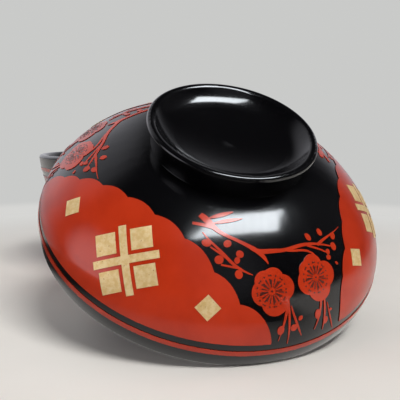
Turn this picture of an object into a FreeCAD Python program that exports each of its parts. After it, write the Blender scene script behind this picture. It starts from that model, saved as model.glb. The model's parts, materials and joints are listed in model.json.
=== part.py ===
"""Lidded lacquer bowl, with its lid taken off and leant on the rim of the bowl. Millimetres, degrees.

The lid and the bowl are turned the same way: a domed shell, mouth down, with a ring on its crown.
The bowl is that shell turned mouth up, so its ring becomes the foot. A point of the dome is named
by the angle of its normal, 0 at the belly and 90 at the crown.
"""
import FreeCAD, Part
import os
from math import acos, asin, atan2, cos, degrees, radians, sin, sqrt

from FreeCAD import Placement, Rotation, Vector

# ---------------------------------------------------------------- driving dimensions
COAT = 0.15                 # a coloured lacquer coat over the black one
LEAF = 0.08                 # gold leaf with the lacquer that bonds it
BOND = 0.06                 # between a coat or a leaf and the face that it lies on
REST_CLEARANCE = 0.05       # between the leaning lid and the bowl

LID_LEAN = 33.4             # lid axis from the vertical
LID_TURN = 18.8             # heading that the lid leans towards, from the front to the right
LID_BEARING = 11.5          # heading of the lid from the bowl, from the front to the right
LID_SPIN = -53.0            # first cloud of the lid, from its low side
BOWL_SPIN = -10.0           # first cloud of the bowl, from the front

LID = dict(
    wall=2.6, flat_r=22.7, belly_h=5.2, rim_r=60.0, shoulder_r=20.5, shoulder_sweep=33.5,
    crown_r=48.0, ring_root_r=26.1, ring_lip_r=28.4, ring_flat=0.2, ring_h=9.0,
)
BOWL = dict(
    wall=2.8, flat_r=21.3, belly_h=-3.0, rim_r=63.5, shoulder_r=46.0, shoulder_sweep=30.0,
    crown_r=74.0, ring_root_r=29.5, ring_lip_r=31.0, ring_flat=1.6, ring_h=10.4,
)

RING_STEP = 0.35            # crisp step where a ring leaves its dome
RING_WAIST = 0.3            # how far a ring's waist is from its root to its lip
LIP_ROUND = 1.2             # outer edge of a ring's lip
LIP_BEND = 1.8              # inner edge of the lip
DISH_STEEP = 49.5           # steepest slope of the dish in a ring
DISH_BEND = 12.0            # radius from the steepest slope to the dish's floor
DISH_SHALLOW = 13.0         # slope where the dish's round floor begins
BOTTOM_FILLET = 9.0

LINE_H = 6.8                # middle of the thin line round the mouth
LINE_W = 1.7
CLOUD_H = 10.0              # straight edge of the clouds

# Each cloud is drawn freely: its turn about the axis, how far a lobe rises over its chord per mm
# of chord, and where its lobes meet, from left to right, as (turn, share of the way from the
# ring's root to the straight edge).
CLOUDS = [
    (0, 0.10, [
        (-50.5, 1.00), (-43, 0.785), (-36, 0.665), (-25.4, 0.52), (-12, 0.43),
        (3.6, 0.413), (19.5, 0.485), (33, 0.66), (42.5, 0.83), (53, 1.00),
    ]),
    (120, 0.085, [
        (-42.3, 1.00), (-37.3, 0.81), (-30.2, 0.673), (-22.2, 0.52), (-8.7, 0.412),
        (6.5, 0.409), (20.5, 0.48), (33, 0.66), (42.5, 0.83), (53, 1.00),
    ]),
    (240, 0.08, [
        (-42, 1.00), (-37.4, 0.835), (-30.2, 0.673), (-22.7, 0.52), (-8.7, 0.412),
        (6.5, 0.409), (18.5, 0.49), (26.5, 0.66), (34, 0.83), (40, 1.00),
    ]),
]

# Gold leaf on a cloud: a cross, four squares in its arms, and a square at each side. Its places are
# (turn, up along the surface from the mouth, own angle).
CREST = (3.7, 25.0, 39.5)
BAR_W = 2.4
BAR_LENGTH = 20.8
SQUARE = 6.5
SQUARE_OFFSET = 5.6
SIDE_SQUARE = 5.4
SIDE_SQUARES = [(-26.5, 25.0, 59), (33.0, 20.5, 53)]

# Plum spray in the gap beside each cloud, drawn flat and pressed on the dome: x right, y to the ring.
SPRAYS = [(63.5, 30.0, 0), (182.5, 30.5, 2), (299.0, 32.0, -5)]         # turn, up, own angle
FLOWERS = [                 # x, y of the heart, petals as (angle, reach, radius)
    (-9.5, -3.2, [(71, 6.9, 3.4), (4, 7.4, 4.0), (-80, 7.4, 4.3), (178, 6.2, 4.0), (116, 6.7, 3.2)]),
    (6.2, -2.4, [(92, 7.2, 3.4), (6, 7.6, 4.0), (-75, 7.4, 4.4), (-167, 6.8, 4.0), (134, 6.6, 3.2)]),
]
STROKES = [                 # (points, widths)
    ([(-23, 23), (-21.6, 20.4), (-20, 17.2), (-17, 14.3), (-13.7, 11.6), (-10.6, 8.6), (-8.7, 4.7)],
     [1.6, 2.0, 1.3, 1.0, 1.1, 1.4, 0.3]),
    ([(-13, 10.7), (-10, 8.7), (-6.5, 8.1), (-2, 7.6), (3, 7.9), (7.4, 7.7), (12, 6.7), (16, 5.4)],
     [0.6, 1.4, 1.3, 1.1, 1.1, 0.9, 0.6, 0.4]),
    ([(-1.5, 7.2), (3, 6.5), (6.4, 5.4), (8, 3.8)], [0.5, 0.7, 0.6, 0.4]),
    ([(6, 7.4), (9.5, 5.9), (13, 4.0)], [0.6, 0.6, 0.4]),
    ([(10, 6.9), (12.4, 7.9), (16.7, 9.2), (21.7, 11)], [1.0, 0.9, 0.5, 0.2]),
    ([(-26, 21), (-23.6, 19.9), (-21.2, 18.6)], [0.9, 1.0, 1.2]),
    ([(-21, 21.4), (-17.7, 21.6), (-13.4, 21.8)], [0.3, 1.2, 0.2]),
    ([(-20.4, 19.6), (-16.3, 19.5), (-11.6, 19.3)], [0.3, 1.1, 0.2]),
    ([(-24.3, 17.7), (-22.8, 14), (-20.8, 10.4), (-19, 7), (-17, 4.7), (-14.2, 2.6)],
     [0.3, 0.6, 0.8, 0.9, 0.7, 0.3]),
    ([(-23.6, 13), (-21.8, 10.8), (-19.8, 8.2)], [0.4, 0.6, 0.5]),
    ([(-22.2, 7.4), (-19.9, 6.3), (-17.6, 5.3)], [0.5, 0.6, 0.5]),
    ([(-5, -8), (-6.4, -11.7), (-7.7, -15.2), (-8.8, -18)], [0.9, 0.8, 0.5, 0.2]),
    ([(-4.7, -6.6), (-5.1, -12.6), (-5.6, -19.6)], [0.6, 0.7, 0.2]),
    ([(-4.1, -8.7), (-2.9, -13.5), (-0.9, -18.2)], [0.3, 0.7, 0.2]),
    ([(7, -9), (5.6, -14), (3.8, -17.6)], [0.7, 0.6, 0.2]),
    ([(8.3, -9), (7.9, -14), (7.3, -18.4)], [0.6, 0.7, 0.2]),
    ([(9.3, -10.5), (10.1, -14.6), (12, -19)], [0.2, 0.5, 0.2]),
]
BUDS = [                    # x, y, half length, half width, own angle
    (7.4, 9.9, 1.3, 0.9, 115), (12.5, 10.6, 1.2, 0.9, 100), (17.5, 8.6, 1.2, 1.0, 60),
    (16.4, 5.4, 1.3, 1.1, 100), (13.4, 4.2, 0.9, 0.8, 80), (13.1, 2.5, 0.9, 0.8, 0),
    (16, 0.2, 0.7, 0.4, 140), (-24.3, 14.4, 1.3, 1.1, 150), (-18.7, 12.9, 1.2, 1.0, 30),
    (-22.4, 8.9, 1.3, 1.2, 45), (-16.2, 9.2, 1.1, 1.1, 0), (-18.1, 3.6, 1.3, 1.1, 90),
    (-17.5, 7.6, 1.0, 0.8, 60), (-8.1, -15, 1.3, 1.1, 80), (-3.7, -15.2, 1.1, 1.0, 0),
    (-1.3, -12.9, 0.8, 0.6, 30), (5.2, -13.2, 1.4, 1.1, 80), (8.3, -15.7, 1.1, 0.9, 70),
    (10.5, -12.9, 0.5, 0.4, 0),
]

# Room that the cutting blocks of the drawings take round the dome.
DRAWN_SPAN = 150.0          # turn that one drawing may take
DRAWN_LOW = 8.0             # lowest height of a drawing
DRAWN_TOP = 1.0             # degrees of the dome left bare under the ring
PRESS_OVER = 6.0            # over the tangent plane
PRESS_UNDER = 26.0          # under the tangent plane

PUSH_TOLERANCE = 0.002      # of the push that brings the lid to the bowl

TOP = Vector(0, 0, 1)


class Shell:
    """One turned piece, mouth down on z = 0, and the coats on its outside."""

    def __init__(self, wall, flat_r, belly_h, rim_r, shoulder_r, shoulder_sweep,
                 crown_r, ring_root_r, ring_lip_r, ring_flat, ring_h):
        self.wall = wall
        self.shoulder_r = shoulder_r
        self.crown_r = crown_r
        self.sweep = radians(shoulder_sweep)
        self.mouth = asin((wall / 2 - belly_h) / (shoulder_r - wall / 2))
        self.shoulder = Vector(rim_r - shoulder_r * cos(asin(belly_h / shoulder_r)), 0, belly_h)
        gap = crown_r - shoulder_r
        self.crown = self.shoulder - Vector(gap * cos(self.sweep), 0, gap * sin(self.sweep))
        self.root = acos((ring_root_r - self.crown.x) / crown_r)
        self.drawn_top = self.root - radians(DRAWN_TOP)
        self.ring_lip_r = ring_lip_r
        self.ring_flat = ring_flat
        self.height = self.at(self.root).z + ring_h
        self.flat_r = flat_r
        reach = flat_r - self.crown.x
        rise = sqrt((crown_r - wall - BOTTOM_FILLET) ** 2 - reach ** 2)
        self.bottom = atan2(rise, reach)
        self.bottom_h = self.crown.z + rise + BOTTOM_FILLET

    def at(self, angle, off=0.0):
        """Point of the section whose normal has this angle, off mm outside the dome."""
        centre, r = (self.shoulder, self.shoulder_r) if angle <= self.sweep else (self.crown, self.crown_r)
        return centre + Vector((r + off) * cos(angle), 0, (r + off) * sin(angle))

    def angle_at_height(self, h):
        angle = asin((h - self.shoulder.z) / self.shoulder_r)
        return angle if angle <= self.sweep else asin((h - self.crown.z) / self.crown_r)

    def angle_at_length(self, length):
        """Angle at this length along the dome from the lowest point of the mouth."""
        first = asin(-self.shoulder.z / self.shoulder_r)
        below = self.shoulder_r * (self.sweep - first)
        if length <= below:
            return first + length / self.shoulder_r
        return self.sweep + (length - below) / self.crown_r

    def dome(self, off, first, last):
        """Edges of the dome's section from one angle to another."""
        stops = [first] + ([self.sweep] if first < self.sweep < last else []) + [last]
        return [arc(self.at(a, off), self.at((a + b) / 2, off), self.at(b, off))
                for a, b in zip(stops, stops[1:])]

    def body(self):
        """The turned wood: section from the mouth over the dome and the ring, back along the inside."""
        h, lip, half = self.height, self.ring_lip_r, self.wall / 2
        rim_out, rim_in = self.at(self.mouth), self.at(self.mouth, -self.wall)
        rim_end = self.at(self.mouth, -half) + Vector(sin(self.mouth), 0, -cos(self.mouth)) * half
        root = self.at(self.root)
        neck = root + Vector(0, 0, RING_STEP)
        flare = Vector(lip, 0, h - LIP_ROUND)
        waist = Vector(root.x + RING_WAIST * (lip - root.x), 0, (neck.z + flare.z) / 2)
        crest = Vector(lip - LIP_ROUND, 0, h)
        crest_in = crest - Vector(self.ring_flat, 0, 0)
        steep, shallow = radians(DISH_STEEP), radians(DISH_SHALLOW)
        inner = crest_in - Vector(0, 0, LIP_BEND)
        brow = inner + facing_in(steep, LIP_BEND)
        hollow = brow + facing_in(steep, DISH_BEND)
        dish = hollow - facing_in(shallow, DISH_BEND)
        dish_r = dish.x / sin(shallow)
        over = Vector(0, 0, dish.z + dish_r * cos(shallow))     # centre of the dish's round floor
        dish_low = over - Vector(0, 0, dish_r)
        bottom = self.at(self.bottom, -self.wall)
        flat = Vector(self.flat_r, 0, self.bottom_h)
        half_turn = (self.bottom + radians(90)) / 2
        bend = flat + Vector(cos(half_turn), 0, sin(half_turn) - 1) * BOTTOM_FILLET
        section = [
            arc(rim_in, rim_end, rim_out),
            *self.dome(0, self.mouth, self.root),
            line(root, neck),
            arc(neck, waist, flare),
            arc(flare, crest + Vector(cos(radians(45)), 0, sin(radians(45)) - 1) * LIP_ROUND, crest),
            line(crest, crest_in),
            arc(crest_in, inner + facing_in(steep / 2, LIP_BEND), brow),
            arc(brow, hollow - facing_in((steep + shallow) / 2, DISH_BEND), dish),
            arc(dish, over - facing_in(shallow / 2, dish_r), dish_low),
            line(dish_low, Vector(0, 0, self.bottom_h)),
            line(Vector(0, 0, self.bottom_h), flat),
            arc(flat, bend, bottom),
            *self.dome(-self.wall, self.mouth, self.bottom),
        ]
        return turned(section, 360)

    def coat(self, low, high, first, last, span=360):
        """Skin from low to high mm off the dome, between two angles, centred on the front."""
        section = self.dome(low, first, last) + self.dome(high, first, last)
        section += [line(self.at(a, low), self.at(a, high)) for a in (first, last)]
        skin = turned(section, span)
        skin.rotate(Vector(), TOP, -90 - span / 2)
        return skin

    def facing(self, turn, up):
        """Placement of the tangent plane at a turn from the front and a length up the dome."""
        angle = self.angle_at_length(up)
        spot = self.at(angle)
        plane = Placement(Vector(spot.x, 0, spot.z), Rotation(Vector(0, 1, 0), 90 - degrees(angle)))
        upright = Placement(Vector(), Rotation(TOP, 90))
        about = Placement(Vector(), Rotation(TOP, turn - 90))
        return about * plane * upright

    def pressed(self, faces, turn, up, angle, low, high):
        """The part of a coat that flat faces, turned by an angle, cover when pressed on the dome."""
        blocks = [tilted(face, angle).extrude(TOP * (PRESS_OVER + PRESS_UNDER)) for face in faces]
        block = blocks[0].fuse(blocks[1:]).removeSplitter() if len(blocks) > 1 else blocks[0]
        block.Placement = self.facing(turn, up) * Placement(TOP * -PRESS_UNDER, Rotation())
        skin = self.coat(low, high, self.angle_at_height(DRAWN_LOW), self.drawn_top, DRAWN_SPAN)
        skin.rotate(Vector(), TOP, turn)
        return skin.common(block)

    def rim_line(self):
        first, last = (self.angle_at_height(LINE_H + side * LINE_W / 2) for side in (-1, 1))
        return self.coat(BOND, BOND + COAT, first, last)

    def cloud(self, rise, shares):
        """A bank of cloud: straight towards the mouth, lobed towards the ring."""
        edge_angle = self.angle_at_height(CLOUD_H)
        root_r = self.at(self.root).x
        edge_r = self.at(edge_angle).x
        cusps = [on_circle(root_r + share * (edge_r - root_r), turn) for turn, share in shares]
        edges = [lobe(a, b, rise) for a, b in zip(cusps, cusps[1:])]
        clear_r = 2 * edge_r        # its chords must pass outside the dome
        outside = [on_circle(clear_r, turn) for turn in (shares[-1][0], 0, shares[0][0])]
        edges += [line(cusps[-1], outside[0]), line(outside[0], outside[1]),
                  line(outside[1], outside[2]), line(outside[2], cusps[0])]
        block = filled(edges).extrude(TOP * self.height)
        return self.coat(BOND, BOND + COAT, edge_angle, self.drawn_top, DRAWN_SPAN).common(block)

    def gold(self):
        """The crest and the two side squares of one cloud."""
        crest = [rectangle(BAR_W, BAR_LENGTH), rectangle(BAR_LENGTH, BAR_W)]
        for x in (-SQUARE_OFFSET, SQUARE_OFFSET):
            for y in (-SQUARE_OFFSET, SQUARE_OFFSET):
                crest.append(rectangle(SQUARE, SQUARE, x, y))
        off = BOND + COAT + BOND
        leaf = [self.pressed(crest, *CREST, off, off + LEAF)]
        for place in SIDE_SQUARES:
            leaf.append(self.pressed([rectangle(SIDE_SQUARE, SIDE_SQUARE)], *place, off, off + LEAF))
        return gathered(leaf)

    def spray(self, turn, up, angle):
        """One plum spray: branches, buds and two flowers."""
        faces = [stroke(*s) for s in STROKES] + [bud(*b) for b in BUDS]
        for spot in FLOWERS:
            faces += flower(*spot)
        return self.pressed(faces, turn, up, angle, BOND, BOND + COAT)


# ---------------------------------------------------------------- drawing helpers
def arc(a, b, c):
    return Part.Arc(a, b, c).toShape()


def line(a, b):
    return Part.makeLine(a, b)


def filled(edges):
    return Part.Face(Part.Wire(Part.__sortEdges__(edges)))


def turned(section, span):
    return filled(section).revolve(Vector(), TOP, span)


def on_circle(r, turn):
    """Plan point at a turn from the front towards the right."""
    return Vector(r * sin(radians(turn)), -r * cos(radians(turn)), 0)


def facing_in(slope, length):
    """Normal of a surface that falls towards the axis at this slope."""
    return Vector(-sin(slope), 0, cos(slope)) * length


def lobe(a, b, rise):
    """Arc from a to b that bulges towards the axis."""
    chord = b - a
    inward = Vector(-chord.y, chord.x, 0)
    return arc(a, (a + b) / 2 + inward * rise, b)


def rectangle(w, h, x=0.0, y=0.0):
    return Part.makePlane(w, h, Vector(x - w / 2, y - h / 2, 0))


def tilted(shape, angle):
    shape.rotate(Vector(), TOP, angle)
    return shape


def smooth(points):
    curve = Part.BSplineCurve()
    curve.interpolate(points)
    return curve.toShape()


def stroke(points, widths):
    """A brush stroke through the points, as wide at each as its width."""
    spine = [Vector(x, y, 0) for x, y in points]
    left, right = [], []
    for i, (spot, width) in enumerate(zip(spine, widths)):
        way = spine[min(i + 1, len(spine) - 1)] - spine[max(i - 1, 0)]
        side = Vector(-way.y, way.x, 0).normalize() * (width / 2)
        left.append(spot + side)
        right.append(spot - side)
    return filled([smooth(left), smooth(right), line(left[0], right[0]), line(left[-1], right[-1])])


def bud(x, y, length, width, angle):
    curve = Part.Ellipse(Vector(), length, width).toShape()
    face = tilted(Part.Face(Part.Wire(curve)), angle)
    face.translate(Vector(x, y, 0))
    return face


def flower(x, y, petals):
    """Round petals, whose outer edges reach this far from the heart."""
    faces = []
    for angle, reach, r in petals:
        way = radians(angle)
        centre = Vector(x + (reach - r) * cos(way), y + (reach - r) * sin(way), 0)
        faces.append(Part.Face(Part.Wire(Part.makeCircle(r, centre))))
    return faces


# ---------------------------------------------------------------- the assembly
def gathered(shapes):
    return Part.makeCompound([solid for shape in shapes for solid in shape.Solids])


def spread(shape, turns):
    """Copies of a shape at these turns about the axis."""
    return gathered(tilted(shape.copy(), turn) for turn in turns)


def layers(shell):
    """The turned body and the coats on it."""
    return {
        "body": shell.body(),
        "rim_line": shell.rim_line(),
        "cloud_panels": gathered(tilted(shell.cloud(*drawn), turn) for turn, *drawn in CLOUDS),
        "gold_leaf": spread(shell.gold(), [turn for turn, *_ in CLOUDS]),
        "plum_sprays": gathered(shell.spray(*place) for place in SPRAYS),
    }


def lean_lid(lid, bowl, lid_shell, bowl_shell):
    """Lean the lid with its mouth on the table, then push it up to the bowl.

    The bowl's lip is a round of half the wall, so it is measured to the circle at its centre too.
    """
    tilt = Rotation(TOP, LID_TURN) * Rotation(Vector(1, 0, 0), LID_LEAN) * Rotation(TOP, LID_SPIN)
    rim = lid_shell.wall / 2
    rim_centre_r = lid_shell.at(lid_shell.mouth, -rim).x
    lift = rim_centre_r * sin(radians(LID_LEAN)) + rim * (1 - cos(radians(LID_LEAN)))
    start = on_circle(3 * rim_centre_r, LID_BEARING)        # clear of the bowl
    place = Placement(start + Vector(0, 0, lift), tilt)
    towards = on_circle(-1, LID_BEARING)
    lip = bowl_shell.wall / 2
    lip_centre = bowl_shell.at(bowl_shell.mouth, -lip)
    lip_circle = Part.makeCircle(lip_centre.x, Vector(0, 0, bowl_shell.height - lip_centre.z))
    probe = lid["body"].copy()
    gap = 2 * PUSH_TOLERANCE
    while gap > PUSH_TOLERANCE:
        probe.Placement = place
        gap = min(probe.distToShape(lip_circle)[0] - lip, probe.distToShape(bowl["body"])[0])
        gap -= REST_CLEARANCE
        place.Base = place.Base + towards * max(gap, 0)
    for shape in lid.values():
        shape.Placement = probe.Placement


def main():
    lid_shell, bowl_shell = Shell(**LID), Shell(**BOWL)
    lid, bowl = layers(lid_shell), layers(bowl_shell)
    upright = Rotation(TOP, BOWL_SPIN) * Rotation(Vector(1, 0, 0), 180)
    for shape in bowl.values():
        shape.Placement = Placement(Vector(0, 0, bowl_shell.height), upright)
    lean_lid(lid, bowl, lid_shell, bowl_shell)
    box = Part.makeCompound([*lid.values(), *bowl.values()]).optimalBoundingBox(False, False)
    middle = Vector(-box.Center.x, -box.Center.y, -box.ZMin)
    os.makedirs("parts", exist_ok=True)
    for piece, shapes in (("lid", lid), ("bowl", bowl)):
        for name, shape in shapes.items():
            shape.translate(middle)
            shape.exportStep(f"parts/{piece}_{name}.step")


main()
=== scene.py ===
"""Lacquer bowl with its lid leant on the rim: the finishes, the drawn stamens and the studio."""
import bpy
import json
from math import cos, pi, radians, sin
from mathutils import Matrix, Vector

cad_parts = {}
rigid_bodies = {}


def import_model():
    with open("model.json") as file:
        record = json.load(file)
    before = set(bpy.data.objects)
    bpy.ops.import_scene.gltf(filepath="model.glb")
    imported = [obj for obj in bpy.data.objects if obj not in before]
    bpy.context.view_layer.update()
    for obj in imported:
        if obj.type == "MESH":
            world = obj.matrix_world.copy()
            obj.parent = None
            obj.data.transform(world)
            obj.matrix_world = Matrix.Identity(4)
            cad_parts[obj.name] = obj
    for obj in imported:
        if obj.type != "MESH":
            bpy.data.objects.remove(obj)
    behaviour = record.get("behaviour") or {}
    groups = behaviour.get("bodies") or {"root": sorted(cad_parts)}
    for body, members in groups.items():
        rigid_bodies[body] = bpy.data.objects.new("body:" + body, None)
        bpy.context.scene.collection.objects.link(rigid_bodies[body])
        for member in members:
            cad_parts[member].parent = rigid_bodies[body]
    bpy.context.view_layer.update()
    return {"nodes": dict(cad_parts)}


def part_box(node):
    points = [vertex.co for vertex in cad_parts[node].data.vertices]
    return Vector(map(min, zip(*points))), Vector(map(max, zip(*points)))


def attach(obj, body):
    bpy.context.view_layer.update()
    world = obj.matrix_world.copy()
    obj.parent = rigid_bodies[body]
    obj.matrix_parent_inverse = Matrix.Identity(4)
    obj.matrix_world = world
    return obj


for leftover in list(bpy.data.objects):
    bpy.data.objects.remove(leftover)
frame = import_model()
MM = 0.001

# ---------------------------------------------------------------- camera
# Just above the table, close in front of the lid and a little to the left of its middle.
CAMERA_AT = (0.0080, -0.2871, 0.0708)
CAMERA_TILT = 83.65         # from straight down
LENS = 58.5
NEAREST = 0.01
bpy.ops.object.camera_add(location=CAMERA_AT, rotation=(radians(CAMERA_TILT), 0, 0))
camera = bpy.context.object
camera.name = "camera"
camera.data.lens = LENS
camera.data.clip_start = NEAREST
bpy.context.scene.camera = camera
bpy.context.scene.view_settings.view_transform = "Standard"


# ---------------------------------------------------------------- black lacquer
# Both pieces are turned wood under many coats of black lacquer. The last coat is polished with
# powder until it mirrors, so only faint haze and specks of dust break the reflections.
class Wire:
    """One output of a node. Its operators and methods add the nodes that a finish is made of."""

    def __init__(self, tree, socket=None):
        self.tree = tree
        self.socket = socket

    def node(self, kind, sockets=None, out=0, **settings):
        """Adds a node: its settings first, then values or wires on its sockets."""
        made = self.tree.nodes.new(kind)
        for name, value in settings.items():
            setattr(made, name, value)
        for name, value in (sockets or {}).items():
            if isinstance(value, Wire):
                self.tree.links.new(value.socket, made.inputs[name])
            else:
                made.inputs[name].default_value = value
        return Wire(self.tree, made.outputs[out])

    def math(self, operation, *values):
        """Adds a Math node on wires and numbers."""
        return self.node("ShaderNodeMath", dict(enumerate(values)), operation=operation)

    def __add__(self, other):
        return self.math("ADD", self, other)

    def __rsub__(self, other):
        return self.math("SUBTRACT", other, self)

    def __mul__(self, other):
        return self.math("MULTIPLY", self, other)

    __radd__ = __add__
    __rmul__ = __mul__

    def between(self, low, high):
        """0 below low, 1 above high, smooth between them."""
        return self.node("ShaderNodeMapRange", {"Value": self, "From Min": low, "From Max": high},
                         interpolation_type="SMOOTHSTEP")

    def blend(self, first, second):
        """From the first colour to the second as this goes from 0 to 1."""
        colours = {key: value if isinstance(value, Wire) else (*value, 1)
                   for key, value in ((6, first), (7, second))}
        return self.node("ShaderNodeMix", {0: self, **colours}, out=2, data_type="RGBA")

    def noise(self, size, detail=2.0, roughness=0.5):
        """Noise whose lumps are about this size, in millimetres."""
        place = self.node("ShaderNodeTexCoord", out="Object")
        return self.node("ShaderNodeTexNoise", {"Vector": place, "Scale": 1 / (size * MM),
                                                "Detail": detail, "Roughness": roughness})


def finish(name):
    """A new material, with its nodes cleared: a Wire to start from and its output's socket."""
    material = bpy.data.materials.new(name)
    material.use_nodes = True
    tree = material.node_tree
    tree.nodes.clear()
    out = tree.nodes.new("ShaderNodeOutputMaterial")
    return material, Wire(tree), out.inputs["Surface"]


def dress(node, material):
    """Puts a finish on a CAD node."""
    piece = frame["nodes"][node]
    piece.data.materials.clear()
    piece.data.materials.append(material)


BLACK = (0.0016, 0.0015, 0.0019)
DUST = (0.05, 0.05, 0.055)
HAZE_SIZE = 24              # mm across one patch
HAZE_SPAN = (0.45, 0.75)    # of the noise, from clear to hazy
DUST_SIZE = 0.8
DUST_SPAN = (0.82, 0.86)
POLISH_SIZE = 0.35
POLISH_DEPTH = 0.02
black_lacquer, wire, surface = finish("black_lacquer")
haze = wire.noise(HAZE_SIZE, detail=4).between(*HAZE_SPAN)
speck = wire.noise(DUST_SIZE, detail=1).between(*DUST_SPAN)
polish = wire.noise(POLISH_SIZE, detail=3)
shader = wire.node("ShaderNodeBsdfPrincipled", {
    "Base Color": speck.blend(BLACK, DUST),
    "Roughness": 0.20 + 0.05 * haze,
    "IOR": 1.5,
    "Specular IOR Level": 0.12,
    "Coat Weight": 1 - 0.1 * haze,
    "Coat Roughness": 0.115,
    "Coat IOR": 1.5,
    "Normal": wire.node("ShaderNodeBump", {"Strength": 0.05, "Distance": POLISH_DEPTH * MM,
                                           "Height": polish}),
})
black_lacquer.node_tree.links.new(shader.socket, surface)
for node in ("lid_body", "bowl_body"):
    dress(node, black_lacquer)

# ---------------------------------------------------------------- vermilion lacquer
# The clouds, the plum sprays and the line round the mouth are one brushed coat of vermilion
# lacquer on the black, thick enough to feel, and glossy.
VERMILION = (0.45, 0.031, 0.007)
DEEP_VERMILION = (0.36, 0.021, 0.004)
CLOUDY_SIZE = 9
CLOUDY_SPAN = (0.35, 0.75)
CLOUDY_SHARE = 0.7          # of the way to the deep colour
GRAIN_SIZE = 0.5
GRAIN_SHARE = 0.2
GRAIN_DEPTH = 0.02
vermilion, wire, surface = finish("vermilion_lacquer")
cloudy = wire.noise(CLOUDY_SIZE, detail=3).between(*CLOUDY_SPAN)
grain = wire.noise(GRAIN_SIZE, detail=2)
shader = wire.node("ShaderNodeBsdfPrincipled", {
    "Base Color": (cloudy * CLOUDY_SHARE + grain * GRAIN_SHARE).blend(VERMILION, DEEP_VERMILION),
    "Roughness": 0.26 + 0.08 * grain,
    "IOR": 1.5,
    "Specular IOR Level": 0.1,
    "Coat Weight": 0.8,
    "Coat Roughness": 0.12,
    "Normal": wire.node("ShaderNodeBump", {"Strength": 0.10, "Distance": GRAIN_DEPTH * MM,
                                           "Height": grain}),
})
vermilion.node_tree.links.new(shader.socket, surface)
for piece in ("lid", "bowl"):
    for coat in ("rim_line", "cloud_panels", "plum_sprays"):
        dress(f"{piece}_{coat}", vermilion)

# ---------------------------------------------------------------- gold leaf
# Lozenges cut from gold leaf and laid on the wet vermilion. The leaf is matt, a little wrinkled,
# and the lacquer shows through it in specks.
GOLD = (0.82, 0.56, 0.23)
PALE_GOLD = (0.93, 0.71, 0.38)
WORN = (0.50, 0.22, 0.08)
WRINKLE_SIZE = 1.6
WRINKLE_SPAN = (0.35, 0.65)
CREASE_SIZE = 0.28
CREASE_SHARE = 0.4          # of the height of a wrinkle
WORN_SIZE = 0.7
WORN_SPAN = (0.66, 0.76)
WRINKLE_DEPTH = 0.05
gold, wire, surface = finish("gold_leaf")
wrinkle = wire.noise(WRINKLE_SIZE, detail=5, roughness=0.65)
crease = wire.noise(CREASE_SIZE, detail=2)
worn = wire.noise(WORN_SIZE, detail=3).between(*WORN_SPAN)
shader = wire.node("ShaderNodeBsdfPrincipled", {
    "Base Color": worn.blend(wrinkle.between(*WRINKLE_SPAN).blend(GOLD, PALE_GOLD), WORN),
    "Metallic": 0.5,
    "Roughness": 0.38 + 0.2 * wrinkle,
    "Normal": wire.node("ShaderNodeBump", {"Strength": 0.35, "Distance": WRINKLE_DEPTH * MM,
                                           "Height": wrinkle + CREASE_SHARE * crease}),
})
gold.node_tree.links.new(shader.socket, surface)
for node in ("lid_gold_leaf", "bowl_gold_leaf"):
    dress(node, gold)

# ---------------------------------------------------------------- stamens
# In the heart of each flower, fine strokes of dark lacquer run out to a ring of dots. They are
# drawn flat, as the spray is, and pressed on it.
STAMENS = 23
HEARTS = [(-9.5, -3.2), (6.2, -2.4)]        # of the two flowers in the drawing of one spray, mm
SPRAYS = [(63.5, 0), (182.5, 2), (299.0, -5)]       # turn about the axis, own angle
HEART_R = 0.32
HEART_SIDES = 12
HEART_GAP = 1.1             # from the middle of the flower to the strokes
STROKE = 2.5
STROKE_UNLIKE = 0.15        # how much longer or shorter the next stroke is
STROKE_W = 0.5
TAPER = 0.25                # of its width, at a stroke's inner end
STROKE_CUTS = 4             # so that it bends with the dome
UNEVEN = 0.25               # of the step from one stroke to the next
DOT_R = 0.28
DOT_SIDES = 8
DOT_RING = 4.55
OVER_SPRAY = 3              # height from which the drawing is pressed down
STAMEN_OFF = 0.06           # top of the drawn coat over the spray
STAMEN_COAT = 0.05
DARK_RED = (0.045, 0.006, 0.003)
THIN_RED = (0.10, 0.011, 0.004)
BRUSHED_SIZE = 0.6
BRUSHED_SPAN = (0.3, 0.7)
ink, wire, surface = finish("stamen_lacquer")
thin = wire.noise(BRUSHED_SIZE, detail=2)
shader = wire.node("ShaderNodeBsdfPrincipled", {
    "Base Color": thin.between(*BRUSHED_SPAN).blend(DARK_RED, THIN_RED),
    "Roughness": 0.35,
    "IOR": 1.5,
    "Coat Weight": 0.5,
    "Coat Roughness": 0.08,
})
ink.node_tree.links.new(shader.socket, surface)


def alone(thing):
    """Selects one thing only, and makes it the active one."""
    bpy.ops.object.select_all(action="DESELECT")
    thing.select_set(True)
    bpy.context.view_layer.objects.active = thing


def joined(things):
    """Joins things into the first of them, and returns it."""
    alone(things[0])
    for thing in things[1:]:
        thing.select_set(True)
    bpy.ops.object.join()
    return bpy.context.object


def pick(thing, wanted):
    """Selects the vertices of the active thing where wanted(place in mm) holds, in edit mode."""
    bpy.ops.object.mode_set(mode="EDIT")
    bpy.ops.mesh.select_all(action="DESELECT")
    bpy.ops.object.mode_set(mode="OBJECT")
    for corner in thing.data.vertices:
        corner.select = wanted(corner.co / MM)
    bpy.ops.object.mode_set(mode="EDIT")


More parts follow.
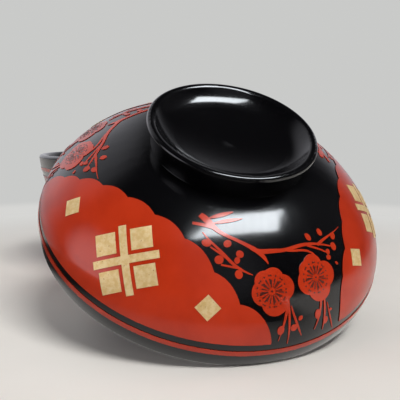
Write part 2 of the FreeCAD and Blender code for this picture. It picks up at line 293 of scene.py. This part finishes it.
marks = []
for i in range(STAMENS):
    way = radians(360 / STAMENS * (i + UNEVEN * (i % 3 - 1)))
    out = Vector((cos(way), sin(way), 0))
    length = STROKE + STROKE_UNLIKE * (i * 7 % 5 - 2)
    bpy.ops.object.select_all(action="DESELECT")
    bpy.ops.mesh.primitive_plane_add(size=MM, location=out * (HEART_GAP + length / 2) * MM,
                                     rotation=(0, 0, way))
    stroke = bpy.context.object
    stroke.scale = (length, STROKE_W, 1)
    bpy.ops.object.transform_apply(location=False, rotation=False)
    pick(stroke, lambda place: place.x < 0)
    bpy.ops.transform.resize(value=(TAPER, TAPER, 1), center_override=out * HEART_GAP * MM)
    bpy.ops.mesh.select_all(action="SELECT")
    bpy.ops.mesh.subdivide(number_cuts=STROKE_CUTS)
    bpy.ops.object.mode_set(mode="OBJECT")
    marks.append(stroke)
    bpy.ops.mesh.primitive_circle_add(vertices=DOT_SIDES, radius=DOT_R * MM, fill_type="TRIFAN",
                                      location=out * DOT_RING * MM)
    marks.append(bpy.context.object)
bpy.ops.mesh.primitive_circle_add(vertices=HEART_SIDES, radius=HEART_R * MM, fill_type="TRIFAN")
marks.append(bpy.context.object)
drawn = joined(marks)
bpy.ops.object.transform_apply()
drawn.data.materials.append(ink)


def turn_about(axis, angle):
    """A turn about an axis through the origin, in degrees."""
    return Matrix.Rotation(radians(angle), 4, axis)


def shifted(x, y, z):
    """A move, in mm."""
    return Matrix.Translation((x * MM, y * MM, z * MM))


def middle_of(node):
    """The move from the origin to the middle of a CAD node."""
    low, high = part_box(node)
    return Matrix.Translation((low + high) / 2)


# How each piece stands, and where each spray lies on it: the dome's radius there, the height over
# the middle of the line round the mouth, and the slope, in mm and degrees.
PIECES = {
    "lid": (turn_about("Z", 18.8) @ turn_about("X", 33.4) @ turn_about("Z", -53),
            [(48.92, 19.28, 41.3), (48.5, 19.6, 41.0), (47.3, 20.6, 39.0)]),
    "bowl": (turn_about("Z", -10) @ turn_about("X", 180),
             [(52.53, 20.63, 53.1), (52.2, 21.0, 52.7), (51.3, 22.2, 51.5)]),
}
for piece, (upright, spots) in PIECES.items():
    flowers = []
    for (turn, angle), (r, height, slope) in zip(SPRAYS, spots):
        for x, y in HEARTS:
            flower = drawn.copy()
            flower.data = drawn.data.copy()
            bpy.context.collection.objects.link(flower)
            on_dome = (middle_of(f"{piece}_rim_line") @ upright @ turn_about("Z", turn - 90)
                       @ shifted(r, 0, height) @ turn_about("Y", slope))
            flower.matrix_world = on_dome @ turn_about("Z", 90 + angle) @ shifted(x, y, OVER_SPRAY)
            alone(flower)
            press = flower.modifiers.new("press", "SHRINKWRAP")
            press.target = frame["nodes"][f"{piece}_plum_sprays"]
            press.wrap_method = "PROJECT"
            press.use_project_z = True
            press.use_negative_direction = True
            press.use_positive_direction = False
            press.offset = STAMEN_OFF * MM
            bpy.ops.object.modifier_apply(modifier="press")
            coat = flower.modifiers.new("coat", "SOLIDIFY")
            coat.thickness = STAMEN_COAT * MM
            bpy.ops.object.modifier_apply(modifier="coat")
            bpy.ops.object.transform_apply()
            flowers.append(flower)
    stamens = joined(flowers)
    stamens.name = f"{piece}_stamens"
    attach(stamens, piece)
bpy.data.objects.remove(drawn)

# ---------------------------------------------------------------- stage: the table
# A pale table under the two pieces. Some way off, in every direction, what the camera sees of it
# turns into evenly lit table, and then into the pale wall of the room.
WALL = (0.585, 0.590, 0.580)
TABLE = (0.76, 0.725, 0.67)
PALE_TABLE = (0.80, 0.77, 0.72)
FAR_TABLE = (0.67, 0.668, 0.652)
TABLE_SIZE = 12             # m
MOTTLE_SIZE = 30            # mm
EVENLY_LIT = (0.14, 0.28)   # m from the middle, where the evenly lit table begins and is full
WALL_FROM = (0.32, 0.38)
bpy.ops.mesh.primitive_plane_add(size=TABLE_SIZE)
table = bpy.context.object
table.name = "table"
material, wire, surface = finish("table")
place = wire.node("ShaderNodeTexCoord", out="Object")
distance = wire.node("ShaderNodeVectorMath", {0: place}, out="Value", operation="LENGTH")
seen = wire.node("ShaderNodeLightPath", out="Is Camera Ray")
mottle = wire.noise(MOTTLE_SIZE, detail=3)
top = wire.node("ShaderNodeBsdfPrincipled", {
    "Base Color": mottle.blend(TABLE, PALE_TABLE),
    "Roughness": 0.7,
})
far = distance.between(*WALL_FROM).blend(FAR_TABLE, WALL)
glow = wire.node("ShaderNodeEmission", {"Color": far})
evenly = distance.between(*EVENLY_LIT) * seen
shader = wire.node("ShaderNodeMixShader", {0: evenly, 1: top, 2: glow})
table.data.materials.append(material)
material.node_tree.links.new(shader.socket, surface)

# ---------------------------------------------------------------- stage: the room round it
# What the camera sees of the room is its wall. What the lacquer mirrors is pale at the back and on
# the left, dim on the right and behind the camera, and dark overhead.
DIM = 0.012
BACK_LIGHT = 0.50
BACK = (-15, 0, 30, 75)     # azimuth from the back to the right, elevation, near and wide
BACK_ENDS = (0.30, 0.92)    # height of the direction, from where the patch fades to where it ends
PATCHES = [                 # light, and the same four angles in degrees
    (0.45, (-52, 42, 12, 36)),
    (1.7, (-114, 8, 5, 27)),
    (0.15, (163, 22, 10, 30)),
    (0.04, (85, 28, 8, 30)),
]
COOL = 1.08                 # blue of the room, to its red
world = bpy.data.worlds.new("room")
bpy.context.scene.world = world
world.use_nodes = True
world.node_tree.nodes.clear()
wire = Wire(world.node_tree)
way = wire.node("ShaderNodeTexCoord", out="Generated")      # in a world, the direction looked in


def towards(azimuth, elevation, near, wide):
    """A soft pale patch round a direction: full within near degrees, gone beyond wide degrees."""
    a, e = radians(azimuth), radians(elevation)
    spot = (sin(a) * cos(e), cos(a) * cos(e), sin(e))
    return wire.node("ShaderNodeVectorMath", {0: way, 1: spot}, out="Value",
                     operation="DOT_PRODUCT").between(cos(radians(wide)), cos(radians(near)))


height = wire.node("ShaderNodeSeparateXYZ", {0: way}, out="Z")
back = towards(*BACK) * (1 - height.between(*BACK_ENDS))
room = DIM + BACK_LIGHT * back
for light, patch in PATCHES:
    room = room + light * towards(*patch)
seen = wire.node("ShaderNodeLightPath", out="Is Camera Ray")
shade = seen.blend(wire.node("ShaderNodeCombineColor", {0: room, 1: room, 2: room * COOL}), WALL)
out = world.node_tree.nodes.new("ShaderNodeOutputWorld")
background = wire.node("ShaderNodeBackground", {"Color": shade, "Strength": 1.0})
world.node_tree.links.new(background.socket, out.inputs["Surface"])

# ---------------------------------------------------------------- stage: the window
# The window is high on the right in front, and a blind hangs aslant over part of it. The lacquer
# mirrors it, and it lights nothing: the lamps further down do that.
WINDOW = [(-600, -150), (200, -150), (-150, 108), (300, 108)]     # corners across and upward, mm
BAR_EVERY = 66              # mm between the bars
BAR_LEAN = -0.35
BAR_SPAN = (0.80, 0.98)     # of a sine wave, from clear to bar
DAYLIGHT = (0.90, 0.955, 1.0)
BEHIND_BAR = (0.62, 0.66, 0.69)
BRIGHTNESS = 19.0
ACROSS = Vector((0.777, 0.607, -0.166))      # the way along its lower side
UPWARD = Vector((-0.458, 0.727, 0.512))
MIDDLE = Vector((0.410, -0.386, 0.801))
bpy.ops.mesh.primitive_plane_add()
window = bpy.context.object
window.name = "window"
for corner, (x, y) in zip(window.data.vertices, WINDOW):
    corner.co = MIDDLE + ACROSS * x * MM + UPWARD * y * MM
material, wire, surface = finish("window")
place = wire.node("ShaderNodeTexCoord", out="Object")
along = wire.node("ShaderNodeVectorMath", {0: place, 1: ACROSS + UPWARD * BAR_LEAN}, out="Value",
                  operation="DOT_PRODUCT")
bar = wire.math("SINE", along * (2 * pi / (BAR_EVERY * MM))).between(*BAR_SPAN)
glow = wire.node("ShaderNodeEmission", {"Color": bar.blend(DAYLIGHT, BEHIND_BAR),
                                        "Strength": BRIGHTNESS})
material.node_tree.links.new(glow.socket, surface)
window.data.materials.append(material)


def only_mirrored(thing):
    """Leaves a thing to be seen in reflections alone."""
    thing.visible_camera = False
    thing.visible_diffuse = False
    thing.visible_shadow = False


only_mirrored(window)

# ---------------------------------------------------------------- stage: the painted shade in front
# A glowing sheet that only the lacquer mirrors paints in the shade on the table in front of and
# under the lid, so the lower side of the lid mirrors it dark. This painted shade is paler near the
# lid and ends softly on the right, at the back and under the lid.
SHADE_SHEET = [(-0.9, -1.3), (1.3, -1.3), (-0.9, 0.10), (0.12, 0.10)]       # corners on the table, m
SHADE_SHEET_UP = 0.001
UNDER_LID = (0.011, -0.050, 0)
RIGHT_END = (-0.06, -0.01)  # of x + y, so that this edge runs aslant, m
BACK_END = (0.05, 0.10)     # of y
INNER_END = (0.035, 0.050)  # from under the lid
DARKER = (0.065, 0.110)
# Colours of the painted shade that the lacquer mirrors, near the lid and further out.
NEAR_SHADE = (0.55, 0.53, 0.51)
FAR_SHADE = (0.030, 0.029, 0.028)
bpy.ops.mesh.primitive_plane_add()
shade_sheet = bpy.context.object
shade_sheet.name = "painted_shade_sheet"
for corner, (x, y) in zip(shade_sheet.data.vertices, SHADE_SHEET):
    corner.co = Vector((x, y, SHADE_SHEET_UP))
material, wire, surface = finish("painted_shade_sheet")
place = wire.node("ShaderNodeTexCoord", out="Object")
x, y = [wire.node("ShaderNodeSeparateXYZ", {0: place}, out=axis) for axis in ("X", "Y")]
reach = wire.node("ShaderNodeVectorMath", {0: place, 1: UNDER_LID}, out="Value",
                  operation="DISTANCE")
solid = (1 - (x + y).between(*RIGHT_END)) * (1 - y.between(*BACK_END)) * reach.between(*INNER_END)
shade = reach.between(*DARKER).blend(NEAR_SHADE, FAR_SHADE)
dark = wire.node("ShaderNodeEmission", {"Color": shade})
clear = wire.node("ShaderNodeBsdfTransparent")
shader = wire.node("ShaderNodeMixShader", {0: solid, 1: clear, 2: dark})
material.node_tree.links.new(shader.socket, surface)
shade_sheet.data.materials.append(material)
only_mirrored(shade_sheet)

# ---------------------------------------------------------------- stage: the lamps
# One broad lamp from the front on the right lights the pieces and draws their shadow to the left
# and back. A wide weak one overhead fills the shadow. The lacquer mirrors neither.
LOOK_AT = Vector((0.02, -0.05, 0.03))
LAMPS = [                   # name, place, sides in m, watts
    ("daylight", (0.42, -0.90, 1.08), (0.58, 0.35), 18.5),
    ("fill", (-0.2, 0.1, 1.1), (1.2, 1.2), 2.2),
]
for name, spot, size, energy in LAMPS:
    bpy.ops.object.light_add(type="AREA", location=spot)
    lamp = bpy.context.object
    lamp.name = name
    lamp.data.shape = "RECTANGLE"
    lamp.data.size, lamp.data.size_y = size
    lamp.data.energy = energy
    lamp.visible_glossy = False
    lamp.rotation_euler = (LOOK_AT - Vector(spot)).to_track_quat("-Z", "Y").to_euler()
